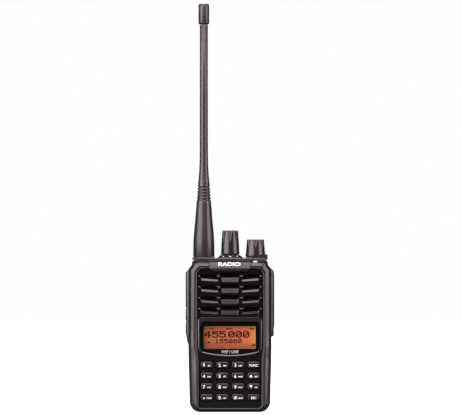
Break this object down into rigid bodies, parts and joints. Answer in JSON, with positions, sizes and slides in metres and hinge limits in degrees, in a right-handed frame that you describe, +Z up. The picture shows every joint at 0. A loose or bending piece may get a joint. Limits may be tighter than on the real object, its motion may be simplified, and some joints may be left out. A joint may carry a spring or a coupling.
{
  "type": "handheld two-way radio",
  "caption": "Handheld radio with a whip antenna, fluted top knobs, backlit display, keypad, side keys, slide-off battery and spring belt clip.",
  "frame": {"origin": "middle of the flat bottom face the radio stands on, under the chassis", "axes": "+Z up along the antenna, -Y out of the display and keypad, +X to the right seen from the front"},
  "size_m": [0.0628, 0.0439, 0.2889],
  "materials": {
    "case_plastic": "moulded polycarbonate, charcoal, fine texture",
    "panel_plastic": "moulded plastic, near black, satin",
    "key_plastic": "moulded plastic, satin black",
    "knob_plastic": "moulded plastic, satin black, fluted",
    "rubber": "moulded rubber, matte black",
    "window_plastic": "clear tinted plastic, polished",
    "display": "backlit amber liquid crystal cell",
    "diecast": "die-cast, black paint",
    "steel": "plated steel",
    "shaft_metal": "turned light alloy",
    "gold_contact": "gold-plated brass",
    "connector_plastic": "moulded connector housing",
    "circuit_board": "glass-epoxy board, solder mask",
    "battery_cell": "wrapped lithium cell",
    "lens": "translucent light pipe",
    "dark_cloth": "woven dust cloth"
  },
  "bodies": {
    "housing": {"front_case": "case_plastic", "front_panel": "panel_plastic", "window_bezel": "case_plastic", "display_window": "window_plastic", "lcd_module": "display", "keypad_membrane": "rubber", "keypad_board": "circuit_board", "main_board": "circuit_board", "chassis": "diecast", "speaker": "steel", "speaker_cloth": "dark_cloth", "microphone": "shaft_metal", "top_deck": "case_plastic", "antenna_jack": "gold_contact", "volume_control": "shaft_metal", "channel_encoder": "shaft_metal", "led_lens": "lens", "case_screw_left": "steel", "case_screw_right": "steel", "battery_contacts": "gold_contact", "side_key_pad": "rubber", "accessory_jacks": "connector_plastic", "clip_bracket": "steel", "clip_pin": "steel", "clip_spring": "steel", "clip_screw_left": "steel", "clip_screw_right": "steel"},
    "battery": {"battery_case": "case_plastic", "battery_plate": "case_plastic", "battery_cells": "battery_cell", "battery_terminals": "gold_contact"},
    "battery_release": {"battery_latch": "key_plastic"},
    "antenna": {"antenna_sheath": "rubber", "antenna_tip": "rubber", "antenna_plug": "gold_contact"},
    "volume_dial": {"volume_knob": "knob_plastic", "volume_shaft": "shaft_metal"},
    "channel_dial": {"channel_knob": "knob_plastic", "channel_shaft": "shaft_metal"},
    "ptt": {"ptt_button": "rubber"},
    "monitor": {"monitor_key": "rubber"},
    "lamp": {"lamp_key": "rubber"},
    "cover": {"jack_cover": "rubber"},
    "clip": {"clip_lever": "case_plastic"},
    "key_1_cap": {"key_1": "key_plastic"},
    "key_2_cap": {"key_2": "key_plastic"},
    "key_3_cap": {"key_3": "key_plastic"},
    "key_func_cap": {"key_func": "key_plastic"},
    "key_4_cap": {"key_4": "key_plastic"},
    "key_5_cap": {"key_5": "key_plastic"},
    "key_6_cap": {"key_6": "key_plastic"},
    "key_up_cap": {"key_up": "key_plastic"},
    "key_7_cap": {"key_7": "key_plastic"},
    "key_8_cap": {"key_8": "key_plastic"},
    "key_9_cap": {"key_9": "key_plastic"},
    "key_down_cap": {"key_down": "key_plastic"},
    "key_star_cap": {"key_star": "key_plastic"},
    "key_0_cap": {"key_0": "key_plastic"},
    "key_hash_cap": {"key_hash": "key_plastic"},
    "key_esc_cap": {"key_esc": "key_plastic"}
  },
  "joints": [
    {"name": "volume_turn", "type": "hinge", "parent": "housing", "child": "volume_dial", "pos_m": [0.0002, -0.001, 0.11], "axis": [0, 0, -1], "range_deg": [-80, 200]},
    {"name": "channel_turn", "type": "hinge", "parent": "housing", "child": "channel_dial", "pos_m": [0.0181, -0.001, 0.11], "axis": [0, 0, -1], "continuous": true},
    {"name": "antenna_unscrew", "type": "hinge", "parent": "housing", "child": "antenna", "pos_m": [-0.0185, -0.0005, 0.11], "axis": [0, 0, 1], "continuous": true},
    {"name": "ptt_press", "type": "slide", "parent": "housing", "child": "ptt", "axis": [1, 0, 0], "range_m": [0, 0.0008], "stiffness_N_per_m": 2500, "springref_m": -0.0005},
    {"name": "monitor_press", "type": "slide", "parent": "housing", "child": "monitor", "axis": [1, 0, 0], "range_m": [0, 0.0005], "stiffness_N_per_m": 2500, "springref_m": -0.0004},
    {"name": "lamp_press", "type": "slide", "parent": "housing", "child": "lamp", "axis": [1, 0, 0], "range_m": [0, 0.0005], "stiffness_N_per_m": 2500, "springref_m": -0.0004},
    {"name": "cover_swing", "type": "hinge", "parent": "housing", "child": "cover", "pos_m": [0.03, -0.00685, 0.0546], "axis": [0, 1, 0], "range_deg": [0, 120]},
    {"name": "clip_squeeze", "type": "hinge", "parent": "housing", "child": "clip", "pos_m": [0, 0.0189, 0.099], "axis": [1, 0, 0], "range_deg": [0, 25], "stiffness_Nm_per_rad": 0.3, "springref_deg": -17.19},
    {"name": "battery_slide", "type": "slide", "parent": "housing", "child": "battery", "axis": [0, 0, -1], "range_m": [0, 0.085]},
    {"name": "battery_release_press", "type": "slide", "parent": "battery", "child": "battery_release", "axis": [0, -1, 0], "range_m": [0, 0.0013], "stiffness_N_per_m": 600, "springref_m": -0.0008},
    {"name": "key_1_press", "type": "slide", "parent": "housing", "child": "key_1_cap", "axis": [0, 1, 0], "range_m": [0, 0.0007], "stiffness_N_per_m": 1500, "springref_m": -0.0003},
    {"name": "key_2_press", "type": "slide", "parent": "housing", "child": "key_2_cap", "axis": [0, 1, 0], "range_m": [0, 0.0007], "stiffness_N_per_m": 1500, "springref_m": -0.0003},
    {"name": "key_3_press", "type": "slide", "parent": "housing", "child": "key_3_cap", "axis": [0, 1, 0], "range_m": [0, 0.0007], "stiffness_N_per_m": 1500, "springref_m": -0.0003},
    {"name": "key_func_press", "type": "slide", "parent": "housing", "child": "key_func_cap", "axis": [0, 1, 0], "range_m": [0, 0.0007], "stiffness_N_per_m": 1500, "springref_m": -0.0003},
    {"name": "key_4_press", "type": "slide", "parent": "housing", "child": "key_4_cap", "axis": [0, 1, 0], "range_m": [0, 0.0007], "stiffness_N_per_m": 1500, "springref_m": -0.0003},
    {"name": "key_5_press", "type": "slide", "parent": "housing", "child": "key_5_cap", "axis": [0, 1, 0], "range_m": [0, 0.0007], "stiffness_N_per_m": 1500, "springref_m": -0.0003},
    {"name": "key_6_press", "type": "slide", "parent": "housing", "child": "key_6_cap", "axis": [0, 1, 0], "range_m": [0, 0.0007], "stiffness_N_per_m": 1500, "springref_m": -0.0003},
    {"name": "key_up_press", "type": "slide", "parent": "housing", "child": "key_up_cap", "axis": [0, 1, 0], "range_m": [0, 0.0007], "stiffness_N_per_m": 1500, "springref_m": -0.0003},
    {"name": "key_7_press", "type": "slide", "parent": "housing", "child": "key_7_cap", "axis": [0, 1, 0], "range_m": [0, 0.0007], "stiffness_N_per_m": 1500, "springref_m": -0.0003},
    {"name": "key_8_press", "type": "slide", "parent": "housing", "child": "key_8_cap", "axis": [0, 1, 0], "range_m": [0, 0.0007], "stiffness_N_per_m": 1500, "springref_m": -0.0003},
    {"name": "key_9_press", "type": "slide", "parent": "housing", "child": "key_9_cap", "axis": [0, 1, 0], "range_m": [0, 0.0007], "stiffness_N_per_m": 1500, "springref_m": -0.0003},
    {"name": "key_down_press", "type": "slide", "parent": "housing", "child": "key_down_cap", "axis": [0, 1, 0], "range_m": [0, 0.0007], "stiffness_N_per_m": 1500, "springref_m": -0.0003},
    {"name": "key_star_press", "type": "slide", "parent": "housing", "child": "key_star_cap", "axis": [0, 1, 0], "range_m": [0, 0.0007], "stiffness_N_per_m": 1500, "springref_m": -0.0003},
    {"name": "key_0_press", "type": "slide", "parent": "housing", "child": "key_0_cap", "axis": [0, 1, 0], "range_m": [0, 0.0007], "stiffness_N_per_m": 1500, "springref_m": -0.0003},
    {"name": "key_hash_press", "type": "slide", "parent": "housing", "child": "key_hash_cap", "axis": [0, 1, 0], "range_m": [0, 0.0007], "stiffness_N_per_m": 1500, "springref_m": -0.0003},
    {"name": "key_esc_press", "type": "slide", "parent": "housing", "child": "key_esc_cap", "axis": [0, 1, 0], "range_m": [0, 0.0007], "stiffness_N_per_m": 1500, "springref_m": -0.0003}
  ]
}
